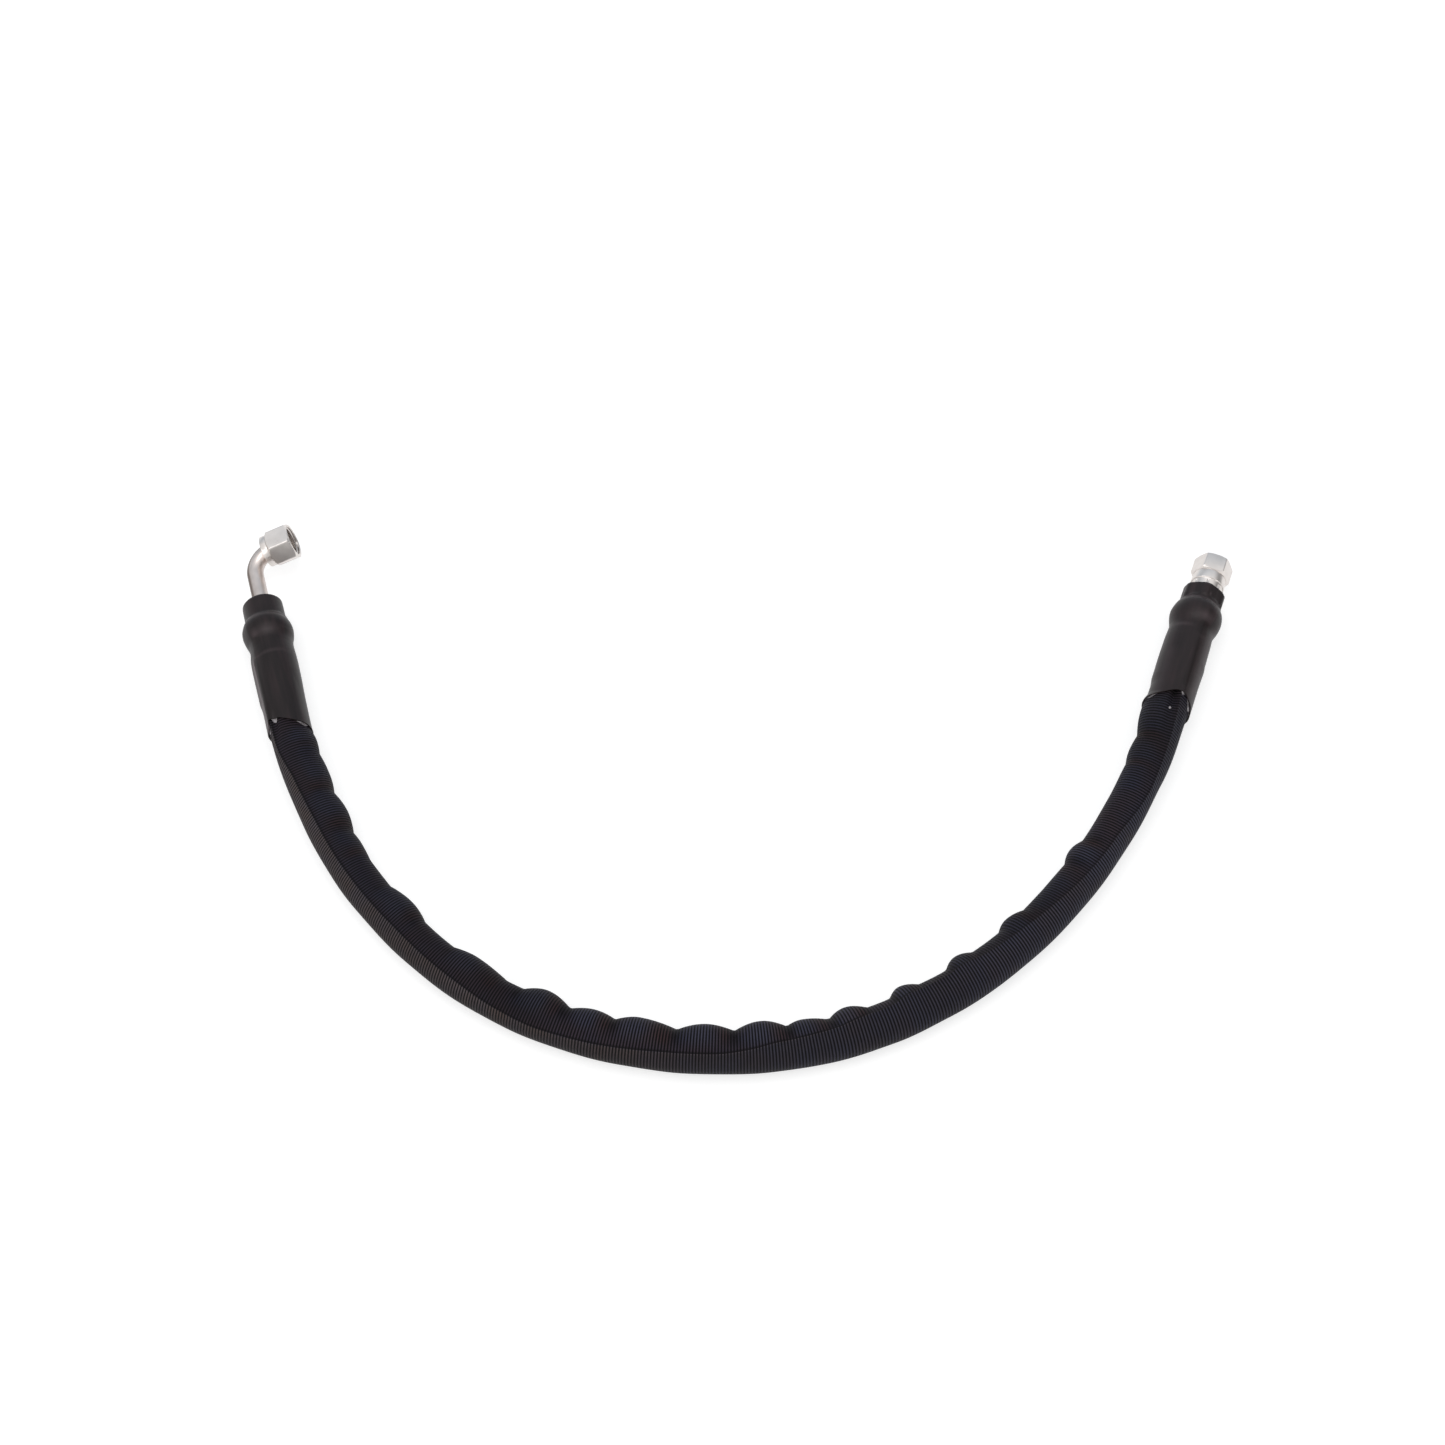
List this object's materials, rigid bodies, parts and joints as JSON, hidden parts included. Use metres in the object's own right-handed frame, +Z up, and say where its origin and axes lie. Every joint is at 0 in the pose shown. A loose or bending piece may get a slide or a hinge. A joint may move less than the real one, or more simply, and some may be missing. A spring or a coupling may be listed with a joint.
{
  "type": "hydraulic hose assembly",
  "caption": "U-shaped hydraulic hose in a woven protective sleeve, with a swept elbow swivel fitting on one end and a straight swivel fitting on the other.",
  "frame": {"origin": "on the surface that the assembly lies on, under the middle of its footprint", "axes": "+Z up; +X from the elbow end to the straight end; +Y from the bend towards the two fittings"},
  "size_m": [0.6307, 0.3832, 0.0351],
  "materials": {
    "liner_rubber": "smooth black nitrile rubber",
    "braid_wire": "brass-coated steel wire",
    "cover_rubber": "cloth-marked black synthetic rubber",
    "woven_nylon": "tightly woven black nylon",
    "turned_steel": "turned steel, bright zinc plated",
    "bent_tube_steel": "drawn steel tube, zinc plated",
    "nut_steel": "machined steel, bright zinc plated",
    "hot_melt": "glossy hot-melt adhesive",
    "shrink_polyolefin": "semi-matt black shrunk polyolefin"
  },
  "bodies": {
    "hose": {"hose_inner_tube": "liner_rubber", "hose_inner_braid": "braid_wire", "hose_interlayer": "liner_rubber", "hose_outer_braid": "braid_wire", "hose_cover": "cover_rubber", "abrasion_sleeve": "woven_nylon", "elbow_hose_tail": "turned_steel", "elbow_tube": "bent_tube_steel", "elbow_flare_seat": "turned_steel", "elbow_ferrule": "turned_steel", "elbow_adhesive": "hot_melt", "elbow_heat_shrink": "shrink_polyolefin", "straight_hose_tail": "turned_steel", "straight_ferrule": "turned_steel", "straight_adhesive": "hot_melt", "straight_heat_shrink": "shrink_polyolefin"},
    "elbow_nut": {"elbow_swivel_nut": "nut_steel"},
    "straight_nut": {"straight_swivel_nut": "nut_steel"}
  },
  "joints": [
    {"name": "elbow_nut_spin", "type": "hinge", "parent": "hose", "child": "elbow_nut", "pos_m": [-0.29321, 0.17701, 0.02151], "axis": [0.9192, 0.2542, 0.3007], "continuous": true},
    {"name": "straight_nut_spin", "type": "hinge", "parent": "hose", "child": "straight_nut", "pos_m": [0.30093, 0.15442, 0.0155], "axis": [0.3436, 0.9391, 0], "continuous": true}
  ]
}
